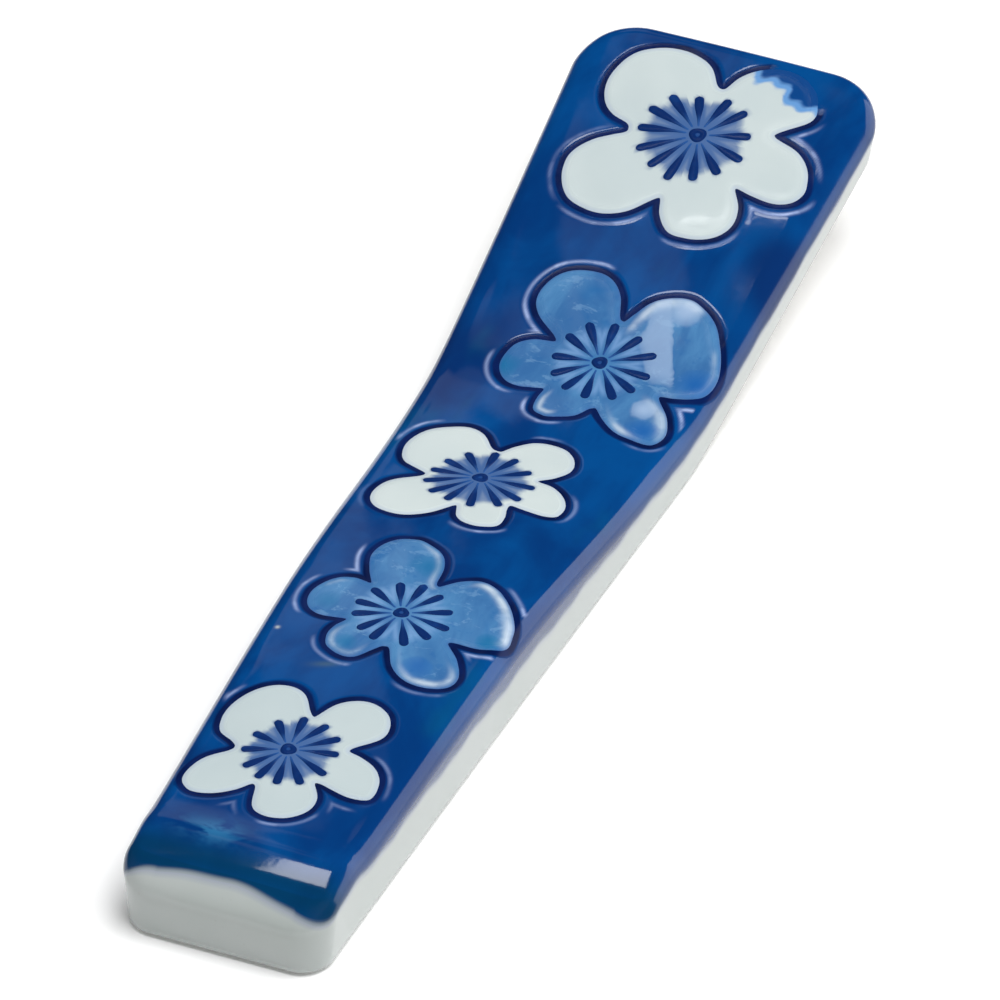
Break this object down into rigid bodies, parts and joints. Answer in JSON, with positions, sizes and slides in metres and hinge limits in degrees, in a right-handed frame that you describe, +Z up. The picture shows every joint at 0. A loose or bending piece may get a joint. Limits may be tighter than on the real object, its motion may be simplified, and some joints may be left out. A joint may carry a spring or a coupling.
{
  "type": "chopstick rest",
  "caption": "Tapering porcelain chopstick rest with a low hump, a shallow valley, a raised lip and relief plum blossoms on cobalt glaze.",
  "frame": {"origin": "centre of the bounding box at its lowest plane, where the foot stands on the table", "axes": "+X along the rest from the narrow end to the raised lip, +Y across to the left seen from the narrow end, +Z up"},
  "size_m": [0.072, 0.0176, 0.009],
  "materials": {
    "porcelain_clay": "bare fired porcelain, matte, on the foot rim and underside",
    "clear_glaze": "glossy clear glaze over white porcelain",
    "cobalt_glaze": "glossy cobalt blue glaze, brushed on and unevenly pooled",
    "white_petal_glaze": "glossy white relief glaze",
    "pale_blue_petal_glaze": "glossy pale blue relief glaze",
    "outline_pigment": "glossy very dark blue line",
    "stamen_pigment": "glossy dark blue brush strokes"
  },
  "bodies": {
    "root": {"porcelain_body": "porcelain_clay", "cobalt_glaze": "cobalt_glaze", "clear_glaze": "clear_glaze", "blossom_1_petals": "white_petal_glaze", "blossom_1_outline": "outline_pigment", "blossom_1_stamens": "stamen_pigment", "blossom_2_petals": "pale_blue_petal_glaze", "blossom_2_outline": "outline_pigment", "blossom_2_stamens": "stamen_pigment", "blossom_3_petals": "white_petal_glaze", "blossom_3_outline": "outline_pigment", "blossom_3_stamens": "stamen_pigment", "blossom_4_petals": "pale_blue_petal_glaze", "blossom_4_outline": "outline_pigment", "blossom_4_stamens": "stamen_pigment", "blossom_5_petals": "white_petal_glaze", "blossom_5_outline": "outline_pigment", "blossom_5_stamens": "stamen_pigment"}
  },
  "joints": []
}
